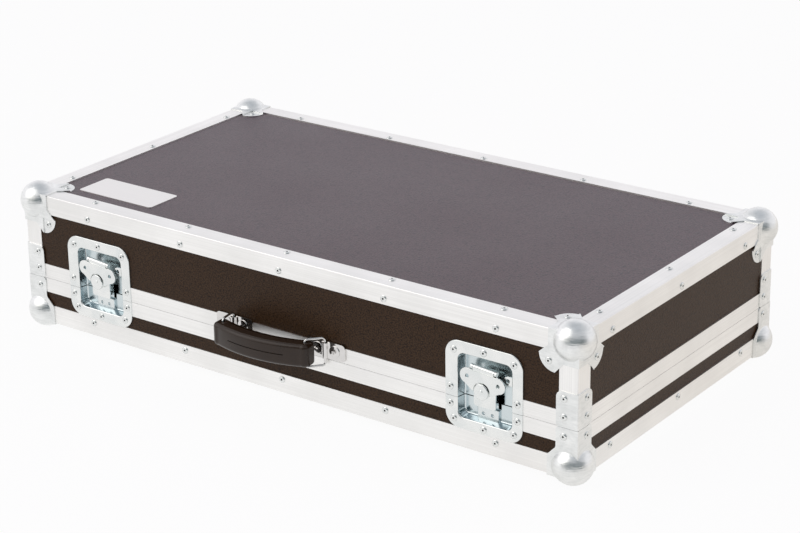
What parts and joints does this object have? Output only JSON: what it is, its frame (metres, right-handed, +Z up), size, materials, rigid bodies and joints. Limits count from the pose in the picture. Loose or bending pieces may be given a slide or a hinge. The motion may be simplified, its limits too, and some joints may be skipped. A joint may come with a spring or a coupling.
{
  "type": "lighting console case",
  "caption": "Low flight case with a hinged lid: plywood panels in aluminium edging, ball corners, recessed twist latches and a carry handle.",
  "frame": {"origin": "middle of the bottom panel's underside", "axes": "+X to the right of someone facing the latches, +Y to the hinged back, +Z up"},
  "size_m": [0.883, 0.5248, 0.2045],
  "materials": {
    "laminate": "satin",
    "aluminium": "satin",
    "zinc_steel": "satin",
    "chrome": "gloss",
    "grip": "matte",
    "foam": "matte",
    "plate": "satin"
  },
  "bodies": {
    "base": {"base_back_panel": "laminate", "base_bottom_panel": "laminate", "base_closing_back": "aluminium", "base_closing_front": "aluminium", "base_closing_left": "aluminium", "base_closing_right": "aluminium", "base_corner_back_left": "zinc_steel", "base_corner_back_right": "zinc_steel", "base_corner_front_left": "zinc_steel", "base_corner_front_right": "zinc_steel", "base_corner_posts": "aluminium", "base_edge_back": "aluminium", "base_edge_front": "aluminium", "base_edge_left": "aluminium", "base_edge_right": "aluminium", "base_foam_bed": "foam", "base_front_panel": "laminate", "base_hinge_leaves": "zinc_steel", "base_left_panel": "laminate", "base_right_panel": "laminate", "base_rivets": "zinc_steel", "hinge_pins": "zinc_steel", "latch_keeper_dish_left": "zinc_steel", "latch_keeper_dish_right": "zinc_steel"},
    "lid": {"badge_plate": "plate", "handle_screws": "chrome", "handle_staples": "chrome", "latch_dish_left": "zinc_steel", "latch_dish_right": "zinc_steel", "lid_back_panel": "laminate", "lid_closing_back": "aluminium", "lid_closing_front": "aluminium", "lid_closing_left": "aluminium", "lid_closing_right": "aluminium", "lid_corner_back_left": "zinc_steel", "lid_corner_back_right": "zinc_steel", "lid_corner_braces": "zinc_steel", "lid_corner_front_left": "zinc_steel", "lid_corner_front_right": "zinc_steel", "lid_corner_posts": "aluminium", "lid_edge_back": "aluminium", "lid_edge_front": "aluminium", "lid_edge_left": "aluminium", "lid_edge_right": "aluminium", "lid_foam_pad": "foam", "lid_front_panel": "laminate", "lid_hinge_leaves": "zinc_steel", "lid_left_panel": "laminate", "lid_right_panel": "laminate", "lid_rivets": "zinc_steel", "lid_top_panel": "laminate"},
    "handle_grip": {"handle_grip": "grip"},
    "handle_loop_left": {"handle_loop_left": "chrome"},
    "handle_loop_right": {"handle_loop_right": "chrome"},
    "latch_hook_left": {"latch_hook_left": "zinc_steel"},
    "latch_hook_right": {"latch_hook_right": "zinc_steel"},
    "latch_hub_left": {"latch_hub_left": "zinc_steel"},
    "latch_hub_right": {"latch_hub_right": "zinc_steel"},
    "latch_wing_left": {"latch_wing_left": "zinc_steel"},
    "latch_wing_right": {"latch_wing_right": "zinc_steel"}
  },
  "joints": [
    {"name": "lid_hinge", "type": "hinge", "parent": "base", "child": "lid", "pos_m": [0, 0.2365, 0.06265], "axis": [-1, 0, 0], "range_deg": [0, 105]},
    {"name": "latch_turn_left", "type": "hinge", "parent": "lid", "child": "latch_hub_left", "pos_m": [-0.3025, -0.2337, 0.08025], "axis": [0, -1, 0], "range_deg": [0, 180]},
    {"name": "wing_flip_left", "type": "hinge", "parent": "latch_hub_left", "child": "latch_wing_left", "pos_m": [-0.30037, -0.2351, 0.10737], "axis": [-0.9969, 0, 0.0785], "range_deg": [0, 90]},
    {"name": "hook_draw_left", "type": "slide", "parent": "lid", "child": "latch_hook_left", "axis": [0, 0, -1], "range_m": [0, 0.0081]},
    {"name": "latch_turn_right", "type": "hinge", "parent": "lid", "child": "latch_hub_right", "pos_m": [0.3025, -0.2337, 0.08025], "axis": [0, -1, 0], "range_deg": [0, 180]},
    {"name": "wing_flip_right", "type": "hinge", "parent": "latch_hub_right", "child": "latch_wing_right", "pos_m": [0.30463, -0.2351, 0.10737], "axis": [-0.9969, 0, 0.0785], "range_deg": [0, 90]},
    {"name": "hook_draw_right", "type": "slide", "parent": "lid", "child": "latch_hook_right", "axis": [0, 0, -1], "range_m": [0, 0.0081]},
    {"name": "handle_swing", "type": "hinge", "parent": "lid", "child": "handle_loop_left", "pos_m": [-0.0722, -0.2357, 0.0755], "axis": [0, 0, 1], "range_deg": [-3.7, 32.3]},
    {"name": "grip_turn", "type": "hinge", "parent": "handle_loop_left", "child": "handle_grip", "pos_m": [-0.0683, -0.2609, 0.0755], "axis": [0, 0, 1], "range_deg": [-37.9, 4.5]},
    {"name": "right_loop_turn", "type": "hinge", "parent": "lid", "child": "handle_loop_right", "pos_m": [0.0722, -0.2357, 0.0755], "axis": [0, 0, 1], "range_deg": [-4, 33.6]}
  ],
  "couplings": [
    {"joint": "hook_draw_left", "follows": "latch_turn_left", "m_per_rad": 0.0025465},
    {"joint": "hook_draw_right", "follows": "latch_turn_right", "m_per_rad": 0.0025465},
    {"joint": "grip_turn", "follows": "handle_swing", "ratio": -1.1667},
    {"joint": "right_loop_turn", "follows": "handle_swing", "ratio": 1.034}
  ]
}
